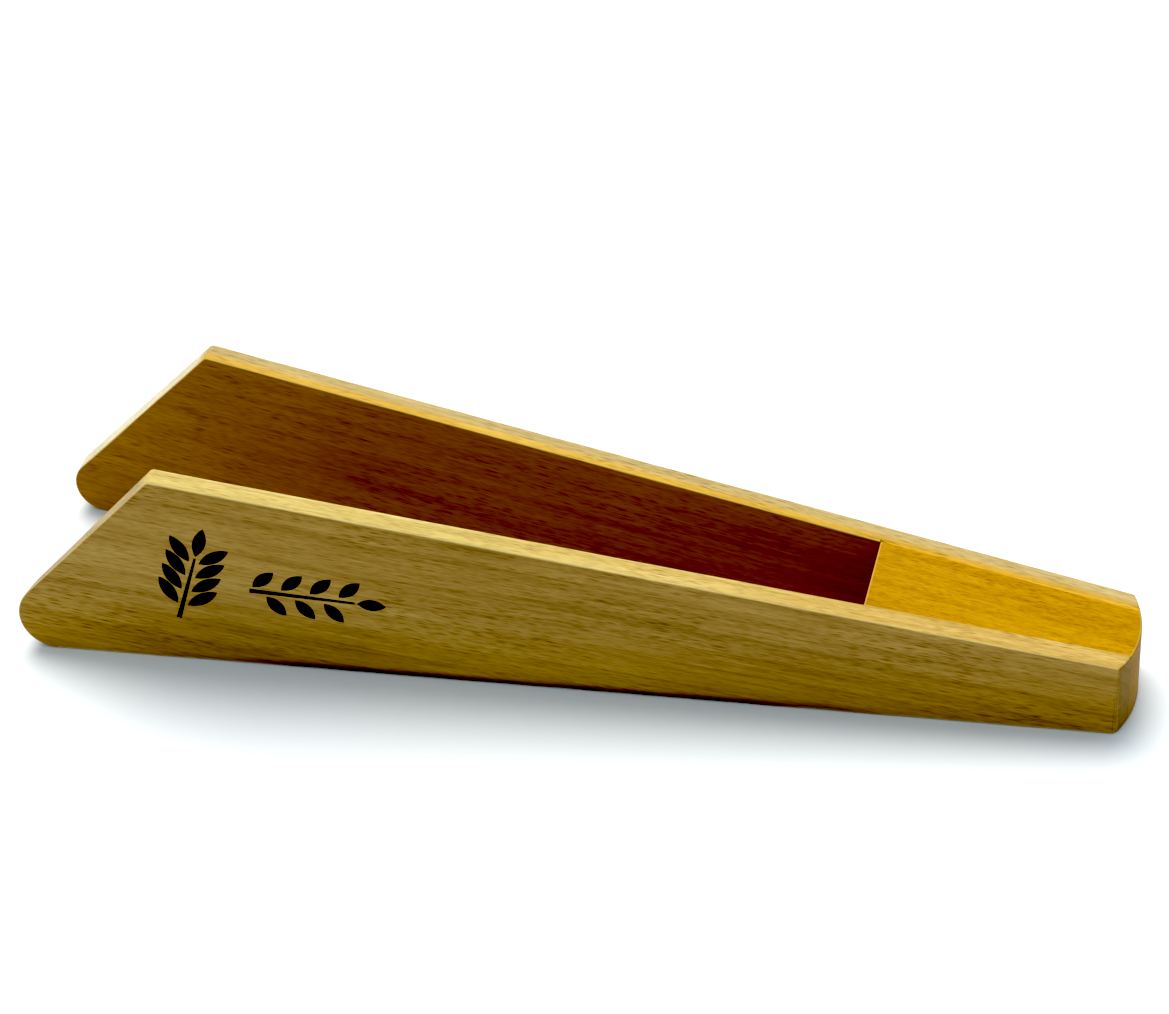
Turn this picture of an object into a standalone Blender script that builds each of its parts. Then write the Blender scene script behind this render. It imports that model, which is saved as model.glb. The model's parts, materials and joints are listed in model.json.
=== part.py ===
"""Wooden toast tongs: two tapered beech arms glued to the sides of a wedge-shaped spacer block.

Frame: +Z up, the tongs stand on their lower edges at z = 0, with the origin midway along the length.
-X is the tip end where toast is held, and +X is the handle end. Seen from the handle end, looking towards the
tips, the left arm is on the -Y side and the right arm on the +Y side.

Each arm is one board. It bends like a leaf spring just in front of the block, so it is held here as a heel, glued to
the block, and a blade, which turns about an upright axis in a narrow slit between them.
"""

import math

import bmesh
import bpy
from mathutils import Matrix, Vector

# Driving dimensions, in metres
LENGTH = 0.200
ARM_THICKNESS = 0.0046
TIP_HEIGHT = 0.0383  # at the top corner of the slanted tip
HEEL_HEIGHT = 0.0142  # at the handle end
JAW_GAP = 0.0385  # between the inner faces at the tips
HEEL_GAP = 0.0130  # between the inner faces at the handle end
BLOCK_LENGTH = 0.0484
TIP_SLANT = 0.0252  # how far behind the tip the top corner lies
TOE_RADIUS = 0.0080  # the round lower corner of the tip
CORNER_RADIUS = 0.0008  # the top corner of the tip
END_RADIUS = 0.0266  # the handle end is an arc in plan
EDGE_RADIUS = 0.0005  # sanded edges
FLEX_DISTANCE = 0.030  # from the block's front face to the bending axis
FLEX_SLIT = 0.0005  # between heel and blade
GLUE_GAP = 0.0003  # between the block and each arm

TOE_STEPS = 14
CORNER_STEPS = 3
END_STEPS = 4
EDGE_STEPS = 2
SHARP_ANGLE = math.radians(30)

# Worked out from the dimensions above
HALF_GAP_RISE = (JAW_GAP - HEEL_GAP) / 2
SPLAY = math.atan2(HALF_GAP_RISE, LENGTH)  # each arm leans out by this angle in plan
ARM_LENGTH = LENGTH / math.cos(SPLAY)
TOP_SLOPE = (TIP_HEIGHT - HEEL_HEIGHT) / (ARM_LENGTH - TIP_SLANT)
FLEX_STATION = (BLOCK_LENGTH + FLEX_DISTANCE) / math.cos(SPLAY)
BLOCK_FRONT = LENGTH / 2 - BLOCK_LENGTH
END_CENTRE = LENGTH / 2 - END_RADIUS


def height_at(station):
    """Height of the top edge, at a distance along the arm from the handle end."""
    return HEEL_HEIGHT + TOP_SLOPE * station


def half_gap(x):
    """Distance from the middle plane to an arm's inner face."""
    return HEEL_GAP / 2 + (LENGTH / 2 - x) * math.tan(SPLAY)


def end_angle(offset):
    """Where a line at this distance outside an arm's inner face meets the arc of the handle end."""
    reach = HEEL_GAP / 2 * math.cos(SPLAY) + END_RADIUS * math.sin(SPLAY) + offset
    return math.asin(reach / END_RADIUS) - SPLAY


def end_point(angle):
    return Vector((END_CENTRE + END_RADIUS * math.cos(angle), END_RADIUS * math.sin(angle)))


def steps_between(start, end, count):
    """count + 1 evenly spaced values from start to end."""
    return [start + (end - start) * i / count for i in range(count + 1)]


def fillet(before, corner, after, radius, steps):
    """Points of the arc that rounds a corner of an outline."""
    into = (before - corner).normalized()
    out = (after - corner).normalized()
    half = into.angle(out) / 2
    centre = corner + (into + out).normalized() * radius / math.sin(half)
    start = corner + into * radius / math.tan(half) - centre
    turn = start.angle_signed(corner + out * radius / math.tan(half) - centre)
    return [
        centre + Matrix.Rotation(-a, 2) @ start for a in steps_between(0.0, turn, steps)
    ]


def wood(name, colour, roughness):
    material = bpy.data.materials.new(name)
    material.use_nodes = True
    shader = material.node_tree.nodes["Principled BSDF"]
    shader.inputs["Base Color"].default_value = (*colour, 1.0)
    shader.inputs["Roughness"].default_value = roughness
    shader.inputs["Metallic"].default_value = 0.0
    return material


def prism(low_ring, high_ring):
    """A closed bmesh between two rings of points with the same number of corners."""
    bm = bmesh.new()
    low = [bm.verts.new(p) for p in low_ring]
    high = [bm.verts.new(p) for p in high_ring]
    bm.faces.new(low)
    bm.faces.new(high)
    for i in range(len(low)):
        j = (i + 1) % len(low)
        bm.faces.new((low[i], low[j], high[j], high[i]))
    bmesh.ops.recalc_face_normals(bm, faces=bm.faces)
    return bm


def round_edges(bm, wanted):
    """Sands the sharp edges whose middle passes the test."""
    edges = [
        e
        for e in bm.edges
        if e.calc_face_angle() > SHARP_ANGLE and wanted((e.verts[0].co + e.verts[1].co) / 2)
    ]
    bmesh.ops.bevel(
        bm,
        geom=edges,
        offset=EDGE_RADIUS,
        segments=EDGE_STEPS,
        profile=0.5,
        affect="EDGES",
    )


def finish_object(name, bm, material, parent=None):
    mesh = bpy.data.meshes.new(name)
    bm.to_mesh(mesh)
    bm.free()
    mesh.shade_smooth()
    mesh.set_sharp_from_angle(angle=SHARP_ANGLE)
    mesh.materials.append(material)
    obj = bpy.data.objects.new(name, mesh)
    bpy.context.scene.collection.objects.link(obj)
    obj.parent = parent
    return obj


def flex_axis(name, side):
    """An empty on an arm's bending axis, halfway through its thickness, with its X along the arm."""
    empty = bpy.data.objects.new(name, None)
    bpy.context.scene.collection.objects.link(empty)
    along = Vector((-math.cos(SPLAY), side * math.sin(SPLAY), 0.0))
    outward = Vector((math.sin(SPLAY), side * math.cos(SPLAY), 0.0))
    heel = Vector((LENGTH / 2, side * HEEL_GAP / 2, 0.0))
    empty.location = heel + along * FLEX_STATION + outward * ARM_THICKNESS / 2
    empty.rotation_euler.z = -side * SPLAY
    bpy.context.view_layer.update()
    return empty


def blade_outline():
    """The blade seen from its side, as (x, z) measured from the bending axis, with the tip at -x."""
    tip = FLEX_STATION - ARM_LENGTH
    cut = -FLEX_SLIT / 2
    toe_centre = Vector((tip + TOE_RADIUS, TOE_RADIUS))
    top_corner = Vector((tip + TIP_SLANT, TIP_HEIGHT))
    cut_top = Vector((cut, height_at(FLEX_STATION + FLEX_SLIT / 2)))
    reach = top_corner - toe_centre
    slant_start = math.atan2(reach.y, reach.x) + math.acos(TOE_RADIUS / reach.length)
    toe = [
        toe_centre + TOE_RADIUS * Vector((math.cos(a), math.sin(a)))
        for a in steps_between(slant_start, 1.5 * math.pi, TOE_STEPS)
    ]
    corner = fillet(cut_top, top_corner, toe[0], CORNER_RADIUS, CORNER_STEPS)
    return [Vector((cut, 0.0)), cut_top, *corner, *toe]


def make_blade(name, material, axis):
    outline = blade_outline()
    faces = [
        [Vector((p.x, y, p.y)) for p in outline]
        for y in (-ARM_THICKNESS / 2, ARM_THICKNESS / 2)
    ]
    bm = prism(*faces)
    round_edges(bm, lambda middle: middle.x < -FLEX_SLIT)
    return finish_object(name, bm, material, axis)


def make_heel(name, material, axis, side):
    inner = end_angle(0.0)
    outer = end_angle(ARM_THICKNESS)
    arc = [end_point(a) for a in steps_between(inner, outer, END_STEPS)]
    to_local = axis.matrix_world.inverted()
    ring = [to_local @ Vector((p.x, side * p.y, 0.0)) for p in arc]
    half = ARM_THICKNESS / 2
    ring += [Vector((FLEX_SLIT / 2, side * y, 0.0)) for y in (half, -half)]
    top = [Vector((p.x, p.y, height_at(FLEX_STATION - p.x))) for p in ring]
    bm = prism(ring, top)
    outside = half - EDGE_RADIUS
    end = ring[END_STEPS].x - EDGE_RADIUS

    def is_outer(middle):
        return middle.x > FLEX_SLIT and (side * middle.y > outside or middle.x > end)

    round_edges(bm, is_outer)
    return finish_object(name, bm, material, axis)


def make_block(material):
    side_angle = end_angle(-GLUE_GAP)
    front = half_gap(BLOCK_FRONT) - GLUE_GAP / math.cos(SPLAY)
    ring = [end_point(a) for a in steps_between(-side_angle, side_angle, 2 * END_STEPS)]
    ring += [Vector((BLOCK_FRONT, front)), Vector((BLOCK_FRONT, -front))]
    low = [Vector((p.x, p.y, 0.0)) for p in ring]
    high = [
        Vector((p.x, p.y, height_at((LENGTH / 2 - p.x) / math.cos(SPLAY)))) for p in ring
    ]
    bm = prism(low, high)
    end = end_point(side_angle).x - EDGE_RADIUS
    round_edges(bm, lambda middle: middle.x > end)
    return finish_object("spacer_block", bm, material)


def main():
    for obj in list(bpy.data.objects):
        bpy.data.objects.remove(obj)
    arm_wood = wood("arm_beech", (0.62, 0.43, 0.20), 0.55)
    block_wood = wood("block_beech", (0.66, 0.40, 0.12), 0.55)
    make_block(block_wood)
    for label, side in (("left", -1), ("right", 1)):
        axis = flex_axis(label + "_flex_axis", side)
        make_heel(label + "_arm_heel", arm_wood, axis, side)
        make_blade(label + "_arm_blade", arm_wood, axis)


main()
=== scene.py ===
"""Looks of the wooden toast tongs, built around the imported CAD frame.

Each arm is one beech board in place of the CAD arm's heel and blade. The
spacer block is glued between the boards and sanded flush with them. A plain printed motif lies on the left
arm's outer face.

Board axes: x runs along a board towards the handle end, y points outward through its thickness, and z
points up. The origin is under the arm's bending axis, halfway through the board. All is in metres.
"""

import json
import math
from dataclasses import dataclass

import bmesh
import bpy
from mathutils import Matrix, Vector, noise


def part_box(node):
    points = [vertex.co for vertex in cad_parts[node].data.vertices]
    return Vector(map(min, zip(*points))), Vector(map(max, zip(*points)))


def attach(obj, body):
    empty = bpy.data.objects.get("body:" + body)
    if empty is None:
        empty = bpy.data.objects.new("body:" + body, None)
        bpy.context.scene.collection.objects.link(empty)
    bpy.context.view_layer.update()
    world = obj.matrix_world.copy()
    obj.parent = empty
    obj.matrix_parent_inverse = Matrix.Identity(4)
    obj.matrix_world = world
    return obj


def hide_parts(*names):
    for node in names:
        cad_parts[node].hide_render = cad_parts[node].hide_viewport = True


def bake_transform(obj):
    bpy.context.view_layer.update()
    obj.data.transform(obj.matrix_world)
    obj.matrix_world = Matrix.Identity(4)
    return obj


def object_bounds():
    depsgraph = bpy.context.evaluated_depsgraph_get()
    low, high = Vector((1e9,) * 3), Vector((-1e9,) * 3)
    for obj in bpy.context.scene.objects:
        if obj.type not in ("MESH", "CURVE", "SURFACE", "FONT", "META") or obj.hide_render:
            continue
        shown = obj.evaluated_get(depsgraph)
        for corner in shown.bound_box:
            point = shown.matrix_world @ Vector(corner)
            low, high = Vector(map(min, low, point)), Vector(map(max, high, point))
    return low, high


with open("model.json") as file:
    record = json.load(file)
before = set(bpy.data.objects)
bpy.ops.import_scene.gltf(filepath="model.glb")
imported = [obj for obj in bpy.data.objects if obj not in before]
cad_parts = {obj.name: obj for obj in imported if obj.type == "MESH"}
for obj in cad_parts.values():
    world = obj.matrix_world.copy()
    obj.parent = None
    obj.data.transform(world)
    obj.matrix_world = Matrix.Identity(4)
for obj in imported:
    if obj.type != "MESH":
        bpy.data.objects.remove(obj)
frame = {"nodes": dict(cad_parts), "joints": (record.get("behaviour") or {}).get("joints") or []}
cad_low, cad_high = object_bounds()

# Shape of the wood, where the frame doesn't give it
TIP_SLANT = {"left": 0.0246, "right": 0.0264}  # how far behind each tip the top corner lies
TIP_REACH = {"left": 0.0, "right": 0.0009}  # past the CAD arm's tip
TIP_SKEW = {"left": 0.0012, "right": 0.0}  # how far the inner face's toe lies behind the outer one's
TOP_SKEW = 0.25  # the top corner's share of that
TOE_RADIUS = {"left": 0.0072, "right": 0.0056}  # the round lower corner of each tip
TIP_CORNER_RADIUS = 0.0010  # the top corner of the tip
SLANT_STEPS = 12
HANDLE_RADIUS = 0.0266  # the handle end is an arc in plan
END_ROUNDING = 0.0005  # upper and lower edge of the handle end
END_MARK_REACH = 0.3 * END_ROUNDING  # what lies this close to the handle end is coloured as end grain
EDGE_ROUNDING = 0.00026  # the boards' sanded rims
FOOT_ROUNDING = 0.00060  # their lower rims, which slide on the table
FOOT_HEIGHT = 0.0010  # below this a rim is a lower one
EDGE_UNEVENNESS = 0.5  # share by which hand sanding changes that rounding
UNEVEN_PER_METRE = 110  # how quickly the rounding changes along a rim
INNER_NOISE_SHIFT = 9  # so that a board's two rims differ
BLOCK_EDGE_ROUNDING = 0.0003
SHARP_ANGLE = math.radians(40)
STATION_SPACING = 0.0025  # between the cuts along a board
RIM_STEPS = 4
CORNER_STEPS = 5
TOE_STEPS = 28
MIDDLE_ROWS = 5
BLOCK_ROWS = 16
MERGE_DISTANCE = 1e-7
CUT_TOLERANCE = MERGE_DISTANCE * 10
# Values on each vertex, from 0 to 1: sanded edge, partly a painted highlight, then narrow side, inner face,
# handle end, slanted cut and toe
MARKS = ("worn_and_highlight", "rim", "inside", "end", "cut")

# Printed motif on the left arm: places are behind the tip and above the table
MOTIF_DEPTH = 0.00005
MOTIF_PROUD = 0.00003
EAR_FOOT = (0.0295, 0.0092)
EAR_LEAN = math.radians(14)  # from upright
EAR_STEM = 0.0138
EAR_KERNEL = (0.0064, 0.0024)
EAR_SPACING = 0.0032
EAR_PAIRS = 4
EAR_TOP_GAP = 0.3  # of the spacing, from the top pair of kernels to the stem's end
GARLAND_FOOT = (0.0425, 0.0165)
GARLAND_LEAN = math.radians(93)
GARLAND_STEM = 0.0190
GARLAND_LEAF = (0.0052, 0.0024)
GARLAND_SPACING = 0.0026
GARLAND_LEAVES = 7
GARLAND_START = 0.2  # of the spacing, before the first leaf
LEAF_ANGLE = math.radians(45)
STEM_WIDTH = 0.0009
STEM_NARROWING = 0.5  # share of its width that a stem loses on its way
STEM_STEPS = 4
PETAL_STEPS = 9
PETAL_FULLNESS = 0.8  # below 1 its ends are blunter than a sine's

# Wood: base colours from dark to light, and tints that multiply them
LEFT_LOOKS = {
    "face": [(0.19, 0.111, 0.032), (0.348, 0.216, 0.068), (0.475, 0.325, 0.112)],
    # the narrow sides are paler than the faces: partly the grain, partly painted light, lit tops beside
    # shaded faces
    "side": [(0.34, 0.228, 0.056), (0.49, 0.357, 0.105), (0.66, 0.535, 0.240)],
    "cut": [(0.23, 0.155, 0.058), (0.315, 0.222, 0.094), (0.40, 0.290, 0.140)],
    # the inner faces, darker and redder: painted shade between the arms
    "inner": [(0.22, 0.105, 0.014), (0.33, 0.172, 0.027), (0.42, 0.232, 0.043)],
    "end": [(0.14, 0.075, 0.012), (0.22, 0.125, 0.026), (0.30, 0.185, 0.048)],
    # paler sanded edges, partly a painted highlight along the rounded rims
    "worn_and_highlight": (0.60, 0.47, 0.20, 1.0),
    # painted shade on the faces' lower part, near the table
    "low_shade_tint": (0.95, 0.87, 0.58, 1.0),
    # deepens the inner faces' painted shade towards the block
    "deep_shade_tint": (0.90, 0.70, 0.62, 1.0),
    "handle_tint": (0.84, 0.72, 0.54, 1.0),
}
RIGHT_LOOKS = dict(
    LEFT_LOOKS,
    side=[(0.31, 0.215, 0.070), (0.41, 0.290, 0.110), (0.52, 0.390, 0.180)],
    # painted warm light along the inner edge of the far arm's narrow side
    side_inner_warm_light=[(0.38, 0.190, 0.010), (0.51, 0.278, 0.018), (0.60, 0.365, 0.040)],
    # the far arm's slanted cut is paler than the near one's: a painted highlight
    cut=[(0.42, 0.350, 0.210), (0.54, 0.460, 0.300), (0.66, 0.580, 0.420)],
    handle_tint=(1.0, 1.0, 1.0, 1.0),
)
BLOCK_LOOKS = {
    "face": [(0.22, 0.095, 0.003), (0.355, 0.172, 0.004), (0.46, 0.245, 0.009)],
    "end": [(0.20, 0.095, 0.006), (0.30, 0.152, 0.014), (0.39, 0.215, 0.026)],
    # paler sanded edges, partly a painted highlight
    "worn_and_highlight": (0.60, 0.38, 0.12, 1.0),
}
INNER_SHADE_DEEPENING = (-0.120, 0.040)  # along the board, the inner face's painted shade deepens between these
SIDE_CHANGE = (-0.0018, 0.0003)  # through the board, the narrow side changes from one tone to the other: on the right arm, from a painted warm light at the inner edge to its own tone
HANDLE_CHANGE = (-0.040, 0.030)  # along the board, the narrow side takes on the handle's tint
LOW_SHADE_HEIGHT = 0.014  # up to here the arms' faces take on painted shade, darker and more saturated towards the table
FLECK_TINT = (0.46, 0.34, 0.20, 1.0)
CONTACT_SHADE_TINT = (0.28, 0.21, 0.13, 1.0)  # painted contact shade darkens the lower edge along the middle of the boards
CONTACT_SHADE_HEIGHTS = (0.0008, 0.0018)  # the painted shade fades out between these heights
CONTACT_SHADE_START = (-0.100, -0.070)  # along the board, it fades in between these
CONTACT_SHADE_END = (0.010, 0.045)  # and out again between these
WORN_AND_HIGHLIGHT_PATCHES = (0.2, 0.7)  # of the fine noise, from the patches with the least wear and highlight to the most
WORN_AND_HIGHLIGHT_SHARE = (0.35, 0.75)  # how much of the worn tone, partly a painted highlight, shows in them

# Wood patterns. Noises: cells per metre along the grain and across it, then detail and roughness
NOISES = {
    "tone": ((14, 60, 75), 3, 0.55),
    "streaks": ((22, 420, 420), 4, 0.6),
    "fibres": ((60, 1700, 1700), 5, 0.65),
    "fine": ((260, 6500, 6500), 3, 0.6),
    "crowding": ((30, 110, 110), 2, 0.5),
    "ring_waves": ((7, 40, 40), 2, 0.5),
}
# Specks: cells per metre, then how far from its middle a speck starts to fade and is gone, in cells
SPECKS = {
    "fleck": ((210, 1750, 1600), 0.06, 0.34),
    "dash": ((330, 3000, 2900), 0.10, 0.44),
    "pore": ((420, 4200, 4200), 0.15, 0.45),
}
SPECK_DEPTHS = {"fleck": 0.80, "dash": 0.60, "pore": 0.35}  # how much of the fleck tint each takes on
CROWDED = ("fleck", "dash")  # these are stronger in some places than in others
CROWDING_RANGE = (0.35, 0.65)  # of its noise, from the weakest places to the strongest
WEAKEST = 0.25  # share of their strength that is left in the weakest places
RINGS_PER_METRE = 380
RING_WAVINESS = 4  # in rings
LATEWOOD = (0.45, 0.97)  # from one ring to the next, it darkens between these shares of the way
PITH_PLACE = (0, -0.055, 0.04)  # shifts the board away from the trunk's centre line
PITH_STRETCH = (0.06, 1, 1)  # x counts little, so the rings run nearly straight along the board
SEED_SHIFT = (0.37, 0.11, 0.07)  # per seed, so that no two pieces look alike
LIGHTNESS = {"tone": 0.38, "fibres": 0.52, "streaks": 0.22, "latewood": -0.07}  # what each pattern adds
LIGHTNESS_RANGE = (0.32, 0.76)  # of their sum, from the darkest wood to the lightest
RELIEF = {"fibres": 0.6, "fine": 0.4, "fleck": -0.5, "pore": -0.3}  # what each raises or sinks
RELIEF_DEPTH = 0.00012
RELIEF_STRENGTH = 0.35
ROUGHNESS = {"fibres": 1.0, "fleck": 0.3}  # what each pattern adds
ROUGHNESS_RANGE = (0.3, 0.9)  # of their sum, from the smoothest wood to the roughest
WOOD_ROUGHNESS = (0.48, 0.66)
WOOD_SPECULAR = 0.2

# Print
INK_TONES = [(0.35, (0.006, 0.005, 0.004)), (0.72, (0.030, 0.020, 0.012))]
INK_NOISE = ((300, 2600, 2600), 4, 0.6)  # cells per metre, detail and roughness
INK_RANGE = (0.3, 0.7)  # of its noise, from the smoothest ink to the roughest
INK_ROUGHNESS = (0.5, 0.7)
INK_SPECULAR = 0.25

# Studio
CAMERA_AZIMUTH = math.radians(11.29)  # from -y towards +x
CAMERA_ELEVATION = math.radians(36.04)
CAMERA_DISTANCE = 1.072
CAMERA_TARGET = Vector((-0.00056, 0.0, 0.02791))
LENS_MM = 185.0
SENSOR_MM = 36.0
FLOOR_SIZE = 8.0
FLOOR_GAP = 0.00003
FLOOR_COLOUR = (0.69, 0.69, 0.69, 1.0)
FLOOR_ROUGHNESS = 0.9
FLOOR_SPECULAR = 0.1
KEY_DIRECTION = Vector((-0.30, 0.50, 1.0))  # from the tongs towards the light
KEY_STRENGTH = 3.8
KEY_SPREAD = math.radians(44)
KEY_COLOUR = (1.0, 0.975, 0.94)
SKY_STRENGTH = 0.87
SKY_COLOUR = (0.84, 0.98, 1.07, 1.0)
BLACK_LEVEL = (0.06, 0.06, 0.06)


@dataclass
class Board:
    """One arm's place and size, read from the frame."""

    label: str
    side: int  # -1 for left, 1 for right
    to_world: Matrix
    half: float  # the thickness, halved
    tip: float
    top_start: float  # a place on the top edge, and its height there
    top_height: float
    slope: float  # how much the top edge drops per metre towards the handle end
    block_front: float

    def place(self, x, y, z=0.0):
        return self.to_world @ Vector((x, y, z))

    def height(self, x):
        """The top edge's height."""
        return self.top_height - self.slope * (x - self.top_start)

    def handle_end(self, y):
        """Where the board ends at an offset through its thickness."""
        reached = meet_handle_arc(self.place(0, y), self.place(1, y) - self.place(0, y))
        return (self.to_world.inverted() @ reached).x


def steps_between(start, end, count):
    """count + 1 evenly spaced values from start to end."""
    return [start + (end - start) * i / count for i in range(count + 1)]


def meet_handle_arc(start, along):
    """The point on the handle end's arc that a level line reaches."""
    centre = Vector((cad_high.x - HANDLE_RADIUS, 0, start.z))
    offset = start - centre
    along = along.normalized()
    back = offset.dot(along)
    reach = math.sqrt(back**2 - offset.length_squared + HANDLE_RADIUS**2) - back
    return start + along * reach


def measure_board(label, side):
    """Reads an arm from its CAD nodes: the largest face gives its direction, and the corners its size."""
    heel = frame["nodes"][label + "_arm_heel"]
    blade = frame["nodes"][label + "_arm_blade"]
    joint = next(j for j in frame["joints"] if j["name"] == label + "_arm_flex")
    broad = max(blade.data.polygons, key=lambda face: face.area).normal
    outward = Vector((abs(broad.x), side * abs(broad.y), 0)).normalized()
    along = Vector((outward.y * side, -outward.x * side, 0))
    columns = Matrix((along, outward, Vector((0, 0, 1)))).transposed()
    origin = Vector((*joint["pos_m"][:2], 0))
    to_world = Matrix.Translation(origin) @ columns.to_4x4()
    to_board = to_world.inverted()
    blade_points = [to_board @ v.co for v in blade.data.vertices]
    heel_points = [to_board @ v.co for v in heel.data.vertices]
    half = max(p.y for p in blade_points)
    top_start = min(p.x for p in heel_points)
    top_height = max(p.z for p in heel_points)
    block_low, block_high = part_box("spacer_block")
    block_front = (block_low.x - origin.x + outward.x * half) / along.x
    slope = (top_height - block_high.z) / (block_front - top_start)
    tip = min(p.x for p in blade_points)
    return Board(label, side, to_world, half, tip, top_start, top_height, slope, block_front)


def fillet(before, corner, after, radius, steps):
    """Points of the arc that rounds a corner of an outline."""
    into = (before - corner).normalized()
    out = (after - corner).normalized()
    half = into.angle(out) / 2
    centre = corner + (into + out).normalized() * radius / math.sin(half)
    start = corner + into * radius / math.tan(half) - centre
    turn = start.angle_signed(corner + out * radius / math.tan(half) - centre)
    return [centre + Matrix.Rotation(-a, 2) @ start for a in steps_between(0.0, turn, steps)]


def tip_place(board, y, skew_share=1.0):
    """Where the tip lies at an offset through the board's thickness."""
    skew = TIP_SKEW[board.label] * skew_share
    return board.tip - TIP_REACH[board.label] + skew * (board.half - y) / (2 * board.half)


def top_corner_place(board, y):
    """Where the top corner of the slanted cut lies, at such an offset."""
    return tip_place(board, y, TOP_SKEW) + TIP_SLANT[board.label]


def stations(board):
    """Where the board is cut across, from the tip's top corner to just before the handle end."""
    start = top_corner_place(board, -board.half) + TIP_CORNER_RADIUS * 2
    end = board.handle_end(board.half) - END_ROUNDING * 2
    count = round((end - start) / STATION_SPACING)
    regular = steps_between(start, end, count)
    near_block = [board.block_front - EDGE_ROUNDING, board.block_front]
    clear = [x for x in regular if abs(x - board.block_front) > STATION_SPACING / 2]
    return sorted(clear + near_block)


def board_outline(board, cuts, y):
    """The board seen from its side, at one offset through its thickness, from the handle end's foot."""
    end = board.handle_end(y)
    tip = tip_place(board, y)
    toe_radius = TOE_RADIUS[board.label]
    toe_centre = Vector((tip + toe_radius, toe_radius))
    top_corner_x = top_corner_place(board, y)
    top_corner = Vector((top_corner_x, board.height(top_corner_x)))
    end_top = Vector((end, board.height(end)))
    end_low = Vector((end, 0.0))
    reach = top_corner - toe_centre
    slant_start = math.atan2(reach.y, reach.x) + math.acos(toe_radius / reach.length)
    toe = [
        toe_centre + toe_radius * Vector((math.cos(a), math.sin(a)))
        for a in steps_between(slant_start, 1.5 * math.pi, TOE_STEPS)
    ]
    corner = fillet(end_top, top_corner, toe[0], TIP_CORNER_RADIUS, CORNER_STEPS)
    low_end = fillet(Vector((board.tip, 0.0)), end_low, end_top, END_ROUNDING, CORNER_STEPS)
    high_end = fillet(end_low, end_top, top_corner, END_ROUNDING, CORNER_STEPS)
    top = [Vector((x, board.height(x))) for x in reversed(cuts)]
    low = [Vector((x, 0.0)) for x in cuts]
    slant = [corner[-1].lerp(toe[0], i / SLANT_STEPS) for i in range(1, SLANT_STEPS)]
    return low_end + high_end + top + corner + slant + toe + low


def inward_normals(outline):
    """Unit vectors into the outline, halfway between its neighbouring sides' own."""
    found = []
    for i, point in enumerate(outline):
        before = (point - outline[i - 1]).normalized()
        after = (outline[(i + 1) % len(outline)] - point).normalized()
        along = (before + after).normalized()
        found.append(Vector((-along.y, along.x)))
    return found


def rim_radius(board, point, inner):
    """How far the rim is rounded: unevenly, as by hand, and not at all where the block is glued on."""
    if inner and point.x > board.block_front - MERGE_DISTANCE:
        return 0.0
    at_foot = point.y < FOOT_HEIGHT and point.x > board.tip + TOE_RADIUS[board.label]
    radius = FOOT_ROUNDING if at_foot else EDGE_ROUNDING
    spot = Vector((point.x, point.y, 0)) * UNEVEN_PER_METRE
    spot.z = board.side + INNER_NOISE_SHIFT * inner
    return radius * (1 + EDGE_UNEVENNESS * noise.noise(spot))


def loft(rows):
    """A closed bmesh through rows of (point, marks), with flat caps on the first and last."""
    bm = bmesh.new()
    layers = [bm.verts.layers.float.new(name) for name in MARKS]
    rings = []
    for row in rows:
        ring = []
        for point, marks in row:
            vertex = bm.verts.new(point)
            for layer, value in zip(layers, marks):
                vertex[layer] = value
            ring.append(vertex)
        rings.append(ring)
    count = len(rings[0])
    for low, high in zip(rings, rings[1:]):
        for i in range(count):
            j = (i + 1) % count
            bm.faces.new((low[i], low[j], high[j], high[i]))
    bm.faces.new(reversed(rings[0]))
    bm.faces.new(rings[-1])
    bmesh.ops.remove_doubles(bm, verts=bm.verts, dist=MERGE_DISTANCE)
    return bm


def cut_across(bm, places):
    """Cuts the faces where the mesh crosses each of these x."""
    for x in places:
        bmesh.ops.bisect_plane(
            bm,
            geom=[*bm.verts, *bm.edges, *bm.faces],
            dist=CUT_TOLERANCE,
            plane_co=(x, 0, 0),
            plane_no=(1, 0, 0),
        )


def finish_piece(name, bm, to_world, material):
    """Turns a bmesh in board axes into a piece, which keeps those axes as its grain for the material."""
    grain = bm.verts.layers.float_vector.new("grain")
    for vertex in bm.verts:
        vertex[grain] = vertex.co
    bm.transform(to_world)
    bm.normal_update()
    bmesh.ops.recalc_face_normals(bm, faces=bm.faces)
    mesh = bpy.data.meshes.new(name)
    bm.to_mesh(mesh)
    bm.free()
    mesh.shade_smooth()
    mesh.set_sharp_from_angle(angle=SHARP_ANGLE)
    mesh.materials.append(material)
    piece = bpy.data.objects.new(name, mesh)
    bpy.context.scene.collection.objects.link(piece)
    weighted = piece.modifiers.new("even_shading", "WEIGHTED_NORMAL")
    weighted.mode = "FACE_AREA"
    weighted.weight = 100
    weighted.keep_sharp = True
    return piece


def end_marks(board, point, y):
    """Whether a point lies on the handle end and whether it lies on the slanted cut or the toe."""
    handle_end = point.x > board.handle_end(y) - END_MARK_REACH
    cut = point.x < top_corner_place(board, y) - TIP_CORNER_RADIUS / 2 and point.y > MERGE_DISTANCE
    return float(handle_end), float(cut)


def rim_row(board, outline, turn, rim):
    """One row round the outer or inner rim: the flat face at turn 0, the narrow side at a quarter turn."""
    row = []
    for point, inward in zip(outline, inward_normals(outline)):
        radius = rim_radius(board, point, rim < 0)
        inset = point + inward * radius * (1 - math.sin(turn))
        y = rim * (board.half - radius * (1 - math.cos(turn)))
        side = math.sin(turn) if radius > 0 else 1.0
        end, cut = end_marks(board, point, y)
        # the paler sanded edge, partly a painted highlight, is strongest halfway round the rim
        worn_and_highlight = math.sin(2 * turn) * (1 - end) if radius > 0 else 0.0
        inside = 1 - side if rim < 0 else 0.0
        row.append((Vector((inset.x, y, inset.y)), (worn_and_highlight, side, inside, end * side, cut * side)))
    return row


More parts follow.
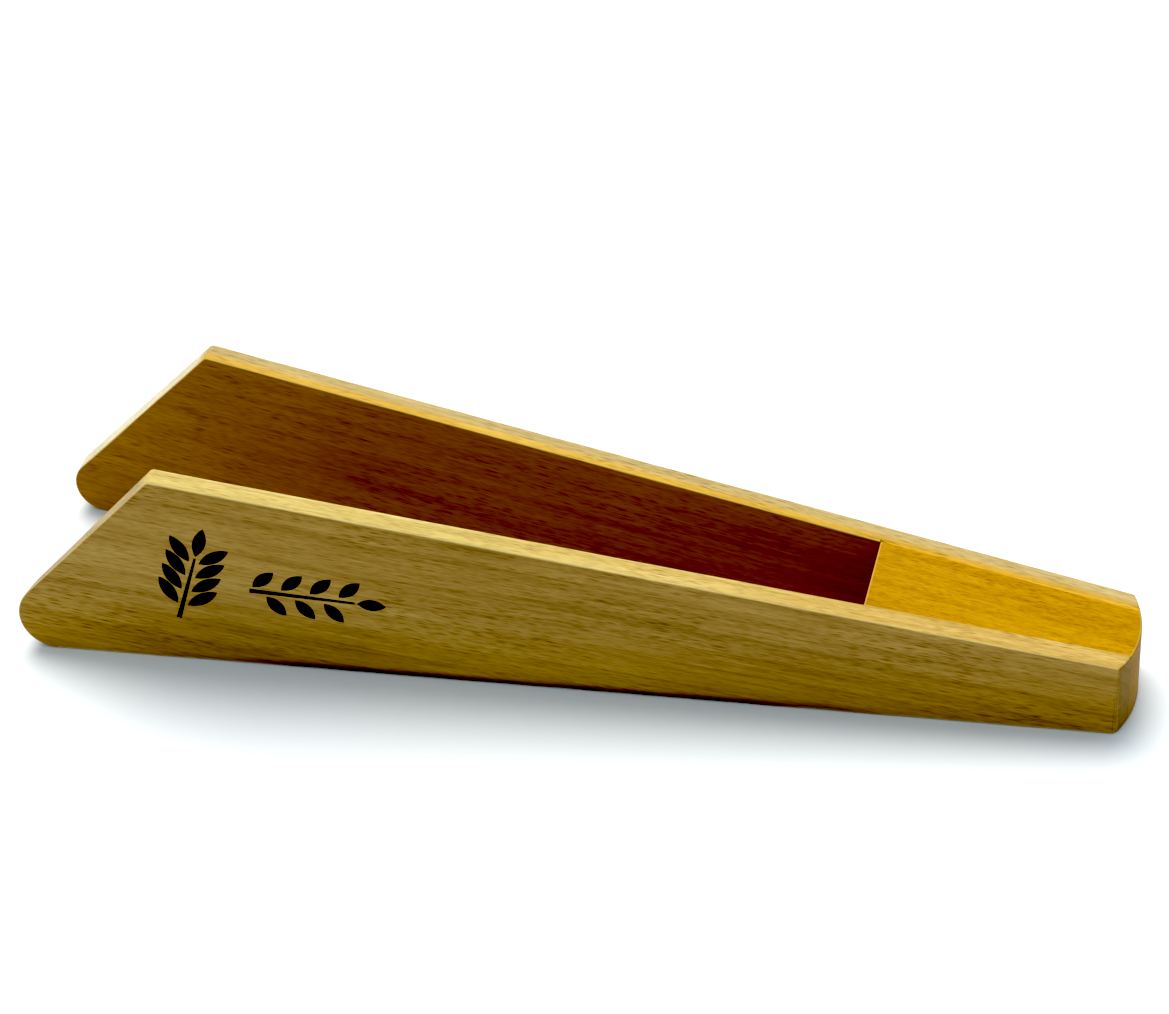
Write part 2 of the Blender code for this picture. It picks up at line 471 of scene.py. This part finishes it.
def make_arm(board, material):
    """One board: rows through its thickness, each following the outline, with rounded rims."""
    cuts = stations(board)
    turns = steps_between(0.0, math.pi / 2, RIM_STEPS)
    flat = board.half - max(FOOT_ROUNDING, EDGE_ROUNDING) * (1 + EDGE_UNEVENNESS)
    inner_outline = board_outline(board, cuts, -board.half)
    rows = [rim_row(board, inner_outline, t, -1) for t in turns]
    for y in steps_between(-flat, flat, MIDDLE_ROWS):
        outline = board_outline(board, cuts, y)
        rows.append([(Vector((p.x, y, p.y)), (0.0, 1.0, 0.0, *end_marks(board, p, y))) for p in outline])
    for turn in reversed(turns):
        depth = EDGE_ROUNDING * (1 - math.cos(turn))
        rows.append(rim_row(board, board_outline(board, cuts, board.half - depth), turn, 1))
    bm = loft(rows)
    tip_cuts = steps_between(tip_place(board, board.half), cuts[0], SLANT_STEPS)[1:-1]
    cut_across(bm, tip_cuts + cuts)
    arm = finish_piece(board.label + "_arm", bm, board.to_world, material)
    axis = board.place(0, 0)
    along = board.place(1, 0) - axis
    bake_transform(arm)
    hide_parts(board.label + "_arm_heel", board.label + "_arm_blade")
    return arm


def block_outline(board, length):
    """The block seen from its side, for a line of this length through it: points with their marks."""
    top = [board.height(board.block_front), board.height(board.block_front + length)]
    corners = [Vector((0, 0)), Vector((length, 0)), Vector((length, top[1])), Vector((0, top[0]))]
    radii = [BLOCK_EDGE_ROUNDING, END_ROUNDING, END_ROUNDING, BLOCK_EDGE_ROUNDING]
    outline = []
    for i, (corner, radius) in enumerate(zip(corners, radii)):
        arc = fillet(corners[i - 1], corner, corners[(i + 1) % 4], radius, CORNER_STEPS)
        for k, point in enumerate(arc):
            end = float(point.x > length - END_MARK_REACH)
            # the block's paler sanded edges, partly a painted highlight
            worn_and_highlight = math.sin(math.pi * k / CORNER_STEPS) * (1 - end)
            outline.append((point, (worn_and_highlight, 0.0, 0.0, end, 0.0)))
    return outline


def make_block(left, right, material):
    """The wedge between the boards: its sides lie on their inner faces, and its ends follow theirs."""
    corners = [board.place(board.block_front, -board.half) for board in (left, right)]
    taper = [board.place(1, -board.half) - board.place(0, -board.half) for board in (left, right)]
    rows = []
    for share in steps_between(0, 1, BLOCK_ROWS):
        front = corners[0].lerp(corners[1], share)
        end = meet_handle_arc(front, taper[0].lerp(taper[1], share))
        along = (end - front).normalized()
        outline = block_outline(left, (end - front).length)
        rows.append([(front + along * p.x + Vector((0, 0, p.y)), marks) for p, marks in outline])
    block = finish_piece("block", loft(rows), Matrix.Identity(4), material)
    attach(block, "handle")
    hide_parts("spacer_block")
    return block


def petal(root, direction, size):
    """A pointed oval that starts at root."""
    length, width = size
    across = Vector((-direction.y, direction.x))
    shares = steps_between(0, 1, PETAL_STEPS)
    bulge = [width / 2 * math.sin(math.pi * s) ** PETAL_FULLNESS if 0 < s < 1 else 0.0 for s in shares]
    one = [root + direction * length * s + across * b for s, b in zip(shares, bulge)]
    other = [root + direction * length * s - across * b for s, b in zip(shares, bulge)]
    return one + other[-2:0:-1]


def ribbon(points, width):
    """A strip along a line, narrowing to its far end."""
    last = len(points) - 1
    one = []
    other = []
    for i, point in enumerate(points):
        along = (points[min(i + 1, last)] - points[max(i - 1, 0)]).normalized()
        half = width / 2 * (1 - STEM_NARROWING * i / last)
        across = Vector((-along.y, along.x)) * half
        one.append(point + across)
        other.append(point - across)
    return one + other[::-1]


def sprig(foot, lean, stem, leaves, size):
    """A stem leaning from upright, with pointed leaves at (distance, side) along it and one at its end."""
    up = Vector((math.sin(lean), math.cos(lean)))
    right = Vector((up.y, -up.x))
    shapes = [ribbon([foot + up * d for d in steps_between(0, stem, STEM_STEPS)], STEM_WIDTH)]
    for distance, side in leaves:
        root = foot + up * distance + right * side * STEM_WIDTH
        shapes.append(petal(root, Matrix.Rotation(-side * LEAF_ANGLE, 2) @ up, size))
    shapes.append(petal(foot + up * (stem + STEM_WIDTH / 2), up, size))
    return shapes


def ear_shapes(board):
    """A wheat ear with its kernels in pairs."""
    foot = Vector((board.tip + EAR_FOOT[0], EAR_FOOT[1]))
    lowest = EAR_STEM - EAR_SPACING * (EAR_PAIRS - 1 + EAR_TOP_GAP)
    kernels = [(lowest + EAR_SPACING * pair, side) for pair in range(EAR_PAIRS) for side in (-1, 1)]
    return sprig(foot, EAR_LEAN, EAR_STEM, kernels, EAR_KERNEL)


def garland_shapes(board):
    """A twig lying along the board, with its leaves on alternate sides."""
    foot = Vector((board.tip + GARLAND_FOOT[0], GARLAND_FOOT[1]))
    leaves = []
    for leaf in range(GARLAND_LEAVES):
        leaves.append((GARLAND_SPACING * (leaf + GARLAND_START), 1 if leaf % 2 else -1))
    return sprig(foot, GARLAND_LEAN, GARLAND_STEM, leaves, GARLAND_LEAF)


def make_motif(board, material):
    """The print: thin closed shapes that lie on the outer face."""
    bm = bmesh.new()
    for shape in ear_shapes(board) + garland_shapes(board):
        low = [bm.verts.new((p.x, board.half - MOTIF_DEPTH + MOTIF_PROUD, p.y)) for p in shape]
        high = [bm.verts.new((p.x, board.half + MOTIF_PROUD, p.y)) for p in shape]
        bm.faces.new(low)
        bm.faces.new(high)
        for i in range(len(shape)):
            j = (i + 1) % len(shape)
            bm.faces.new((low[i], low[j], high[j], high[i]))
    motif = finish_piece("printed_motif", bm, board.to_world, material)
    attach(motif, board.label + "_blade")
    return motif


class Graph:
    """A material's node tree, built with short calls."""

    def __init__(self, name):
        self.material = bpy.data.materials.new(name)
        self.material.use_nodes = True
        self.nodes = self.material.node_tree.nodes
        self.links = self.material.node_tree.links
        self.shader = self.nodes["Principled BSDF"]

    def add(self, kind, inputs=(), **settings):
        """A node with its settings, its inputs set to values or joined to other nodes' sockets."""
        node = self.nodes.new("ShaderNode" + kind)
        for name, value in settings.items():
            setattr(node, name, value)
        for key, value in dict(inputs).items():
            self.put(node.inputs[key], value)
        return node

    def put(self, socket, value):
        if isinstance(value, bpy.types.NodeSocket):
            self.links.new(value, socket)
        else:
            socket.default_value = value

    def math(self, operation, first, second=0.0, clamp=False):
        node = self.add("Math", {0: first, 1: second}, operation=operation, use_clamp=clamp)
        return node.outputs[0]

    def attribute(self, name, output):
        return self.add("Attribute", attribute_name=name).outputs[output]

    def stretched(self, place, per_metre, shift=(0, 0, 0), turn=(0, 0, 0)):
        """The place, turned and shifted, then scaled to so many pattern cells per metre along each axis."""
        moved = self.add("Mapping", {"Vector": place, "Location": shift, "Rotation": turn})
        scaled = self.add("VectorMath", {0: moved.outputs[0], 1: per_metre}, operation="MULTIPLY")
        return scaled.outputs[0]

    def noise(self, place, detail, roughness=0.5):
        inputs = {"Vector": place, "Scale": 1.0, "Detail": detail, "Roughness": roughness}
        return self.add("TexNoise", inputs).outputs[0]

    def ranged(self, value, low, high, start=0.0, end=1.0):
        """value carried from low..high to start..end, and held there outside."""
        node = self.add("MapRange", {0: value, 1: low, 2: high, 3: start, 4: end}, clamp=True)
        return node.outputs[0]

    def mix(self, share, first, second, blend="MIX"):
        """Two colours mixed. The node's colour sockets are its inputs 6 and 7 and its output 2."""
        node = self.add("Mix", data_type="RGBA", blend_type=blend)
        self.put(node.inputs[0], share)
        self.put(node.inputs[6], first)
        self.put(node.inputs[7], second)
        return node.outputs[2]

    def ramp(self, share, stops):
        """A colour ramp from (position, colour) pairs."""
        node = self.add("ValToRGB", {0: share})
        elements = node.color_ramp.elements
        while len(elements) < len(stops):
            elements.new(1.0)
        for element, (position, colour) in zip(elements, stops):
            element.position = position
            element.color = (*colour, 1.0)
        return node.outputs[0]


def wood_patterns(graph, seed, grain_turn):
    """The wood's patterns, from 0 to 1, in the piece's own axes, so that they bend with it."""
    place = graph.attribute("grain", "Vector")
    turn = (0, grain_turn, 0)
    shift = tuple(seed * share for share in SEED_SHIFT)
    wood = {"place": place}
    for name, (per_metre, detail, roughness) in NOISES.items():
        wood[name] = graph.noise(graph.stretched(place, per_metre, shift, turn), detail, roughness)
    crowding = graph.ranged(wood["crowding"], *CROWDING_RANGE, WEAKEST, 1.0)
    for name, (per_metre, fading, gone) in SPECKS.items():
        cells = {"Vector": graph.stretched(place, per_metre, shift, turn), "Scale": 1.0}
        distance = graph.add("TexVoronoi", cells).outputs["Distance"]
        speck = graph.ranged(distance, fading, gone, 1.0, 0.0)
        wood[name] = graph.math("MULTIPLY", speck, crowding) if name in CROWDED else speck
    pith = graph.stretched(place, PITH_STRETCH, PITH_PLACE, turn)
    radius = graph.add("VectorMath", {0: pith}, operation="LENGTH").outputs["Value"]
    waves = graph.math("MULTIPLY", wood["ring_waves"], RING_WAVINESS)
    rings = graph.math("ADD", graph.math("MULTIPLY", radius, RINGS_PER_METRE), waves)
    wood["latewood"] = graph.ranged(graph.math("FRACT", rings), *LATEWOOD)
    return wood


def summed(graph, wood, weights):
    """The wood's patterns, added up by their weights."""
    total = 0.0
    for name, weight in weights.items():
        total = graph.math("ADD", total, graph.math("MULTIPLY", wood[name], weight))
    return total


def wood_colour(graph, wood, looks):
    """Light and dark wood, then each marked surface's own tone, with painted light and shade on some, then
    flecks, sanded edges partly painted as highlights, and painted contact shade.
    """
    share = graph.ranged(summed(graph, wood, LIGHTNESS), *LIGHTNESS_RANGE)

    def toned(tones):
        return graph.ramp(share, list(zip((0.0, 0.5, 1.0), tones)))

    along, across, above = graph.add("SeparateXYZ", {0: wood["place"]}).outputs
    colour = toned(looks["face"])
    # painted shade: the faces darken towards the table
    if "low_shade_tint" in looks:
        low = graph.ranged(above, 0.0, LOW_SHADE_HEIGHT, 1.0, 0.0)
        colour = graph.mix(low, colour, looks["low_shade_tint"], "MULTIPLY")
    # the narrow sides are paler than the faces: partly the grain, partly painted light, lit tops beside
    # shaded faces
    if "side" in looks:
        side = toned(looks["side"])
        # painted warm light along the inner edge of the narrow side
        if "side_inner_warm_light" in looks:
            side = graph.mix(graph.ranged(across, *SIDE_CHANGE), toned(looks["side_inner_warm_light"]), side)
        side = graph.mix(graph.ranged(along, *HANDLE_CHANGE), side, looks["handle_tint"], "MULTIPLY")
        colour = graph.mix(graph.attribute("rim", "Fac"), colour, side)
        colour = graph.mix(graph.attribute("cut", "Fac"), colour, toned(looks["cut"]))
    # painted shade on the inner faces, deepening along the board towards the block
    if "inner" in looks:
        shade_deepening = graph.ranged(along, *INNER_SHADE_DEEPENING)
        inner = graph.mix(shade_deepening, toned(looks["inner"]), looks["deep_shade_tint"], "MULTIPLY")
        colour = graph.mix(graph.attribute("inside", "Fac"), colour, inner)
    colour = graph.mix(graph.attribute("end", "Fac"), colour, toned(looks["end"]))
    for name, depth in SPECK_DEPTHS.items():
        colour = graph.mix(graph.math("MULTIPLY", wood[name], depth), colour, FLECK_TINT, "MULTIPLY")
    # paler sanded edges: partly wear, partly a painted highlight on the rounded rims
    patchy = graph.ranged(wood["fine"], *WORN_AND_HIGHLIGHT_PATCHES, *WORN_AND_HIGHLIGHT_SHARE)
    worn_and_highlight = graph.math("MULTIPLY", graph.attribute("worn_and_highlight", "Fac"), patchy)
    colour = graph.mix(worn_and_highlight, colour, looks["worn_and_highlight"])
    # painted contact shade along the lower edge, where the boards meet the table
    contact_shade = graph.ranged(above, *CONTACT_SHADE_HEIGHTS, 1.0, 0.0)
    contact_shade = graph.math("MULTIPLY", contact_shade, graph.ranged(along, *CONTACT_SHADE_START))
    contact_shade = graph.math("MULTIPLY", contact_shade, graph.ranged(along, *CONTACT_SHADE_END, 1.0, 0.0))
    return graph.mix(contact_shade, colour, CONTACT_SHADE_TINT, "MULTIPLY")


def beech(name, seed, looks, grain_turn=0.0):
    """Oiled beech: growth rings, long fibres, dark ray flecks, slow changes of tone, paler sanded edges
    that are partly painted highlights, and some painted light and shade.
    """
    graph = Graph(name)
    wood = wood_patterns(graph, seed, grain_turn)
    graph.put(graph.shader.inputs["Base Color"], wood_colour(graph, wood, looks))
    rough = graph.ranged(summed(graph, wood, ROUGHNESS), *ROUGHNESS_RANGE, *WOOD_ROUGHNESS)
    graph.put(graph.shader.inputs["Roughness"], rough)
    graph.put(graph.shader.inputs["Specular IOR Level"], WOOD_SPECULAR)
    relief = summed(graph, wood, RELIEF)
    bump = graph.add("Bump", {"Height": relief, "Strength": RELIEF_STRENGTH, "Distance": RELIEF_DEPTH})
    graph.put(graph.shader.inputs["Normal"], bump.outputs[0])
    return graph.material


def ink():
    """Dark print, a little thin where the wood's fibres stand up."""
    graph = Graph("print_ink")
    place = graph.attribute("grain", "Vector")
    per_metre, detail, roughness = INK_NOISE
    fibres = graph.noise(graph.stretched(place, per_metre), detail, roughness)
    graph.put(graph.shader.inputs["Base Color"], graph.ramp(fibres, INK_TONES))
    graph.put(graph.shader.inputs["Roughness"], graph.ranged(fibres, *INK_RANGE, *INK_ROUGHNESS))
    graph.put(graph.shader.inputs["Specular IOR Level"], INK_SPECULAR)
    return graph.material


def make_floor():
    """A plain pale table top."""
    graph = Graph("floor_white")
    graph.put(graph.shader.inputs["Base Color"], FLOOR_COLOUR)
    graph.put(graph.shader.inputs["Roughness"], FLOOR_ROUGHNESS)
    graph.put(graph.shader.inputs["Specular IOR Level"], FLOOR_SPECULAR)
    half = FLOOR_SIZE / 2
    mesh = bpy.data.meshes.new("floor")
    z = cad_low.z - FLOOR_GAP
    corners = [(-half, -half, z), (half, -half, z), (half, half, z), (-half, half, z)]
    mesh.from_pydata(corners, [], [(0, 1, 2, 3)])
    mesh.materials.append(graph.material)
    floor = bpy.data.objects.new("floor", mesh)
    bpy.context.scene.collection.objects.link(floor)


def make_lights():
    """One broad soft light from behind and above, and an even sky that fills the shadows."""
    light = bpy.data.lights.new("key", "SUN")
    light.energy = KEY_STRENGTH
    light.angle = KEY_SPREAD
    light.color = KEY_COLOUR
    key = bpy.data.objects.new("key", light)
    key.rotation_mode = "QUATERNION"
    key.rotation_quaternion = KEY_DIRECTION.to_track_quat("Z", "Y")
    bpy.context.scene.collection.objects.link(key)
    world = bpy.data.worlds.new("studio")
    world.use_nodes = True
    sky = world.node_tree.nodes["Background"]
    sky.inputs["Color"].default_value = SKY_COLOUR
    sky.inputs["Strength"].default_value = SKY_STRENGTH
    bpy.context.scene.world = world


def make_camera():
    """The photograph's viewing angle."""
    back = Vector(
        (
            math.sin(CAMERA_AZIMUTH) * math.cos(CAMERA_ELEVATION),
            -math.cos(CAMERA_AZIMUTH) * math.cos(CAMERA_ELEVATION),
            math.sin(CAMERA_ELEVATION),
        )
    )
    data = bpy.data.cameras.new("camera")
    data.lens = LENS_MM
    data.sensor_width = SENSOR_MM
    camera = bpy.data.objects.new("camera", data)
    camera.location = CAMERA_TARGET + back * CAMERA_DISTANCE
    camera.rotation_mode = "QUATERNION"
    camera.rotation_quaternion = back.to_track_quat("Z", "Y")
    bpy.context.scene.collection.objects.link(camera)
    bpy.context.scene.camera = camera


def set_processing():
    """Plain display colours, with the deep blacks of a product photograph."""
    settings = bpy.context.scene.view_settings
    settings.view_transform = "Standard"
    settings.look = "None"
    settings.use_curve_mapping = True
    settings.curve_mapping.black_level = BLACK_LEVEL


def main():
    make_camera()
    make_lights()
    make_floor()
    set_processing()
    left = measure_board("left", -1)
    right = measure_board("right", 1)
    grain_turn = -math.atan(left.slope)
    make_arm(left, beech("left_arm_beech", 1.0, LEFT_LOOKS, grain_turn))
    make_arm(right, beech("right_arm_beech", 2.0, RIGHT_LOOKS, grain_turn))
    make_block(left, right, beech("spacer_block_beech", 3.0, BLOCK_LOOKS))
    make_motif(left, ink())


main()
